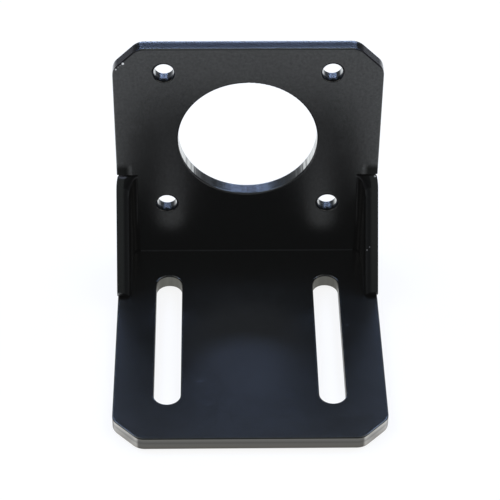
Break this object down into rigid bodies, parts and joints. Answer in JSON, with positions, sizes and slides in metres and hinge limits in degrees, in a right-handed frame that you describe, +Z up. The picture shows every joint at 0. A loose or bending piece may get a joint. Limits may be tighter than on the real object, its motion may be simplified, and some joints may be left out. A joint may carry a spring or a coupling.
{
  "type": "motor mounting bracket",
  "caption": "L-shaped folded sheet bracket: an upright plate with a pilot bore and screw holes for a square-flange motor, on a slotted base braced by side ears.",
  "frame": {"origin": "on the underside of the base, midway between the bracket's sides and midway between the back of the plate and the front edge of the base", "axes": "+Z up along the plate, -Y from the plate towards the front edge of the base, +X to the right seen from the front"},
  "size_m": [0.0422, 0.045, 0.043],
  "materials": {
    "black_anodised_aluminium": "black anodised, semi-gloss, with softly rounded edges"
  },
  "bodies": {
    "root": {"bracket": "black_anodised_aluminium"}
  },
  "joints": []
}
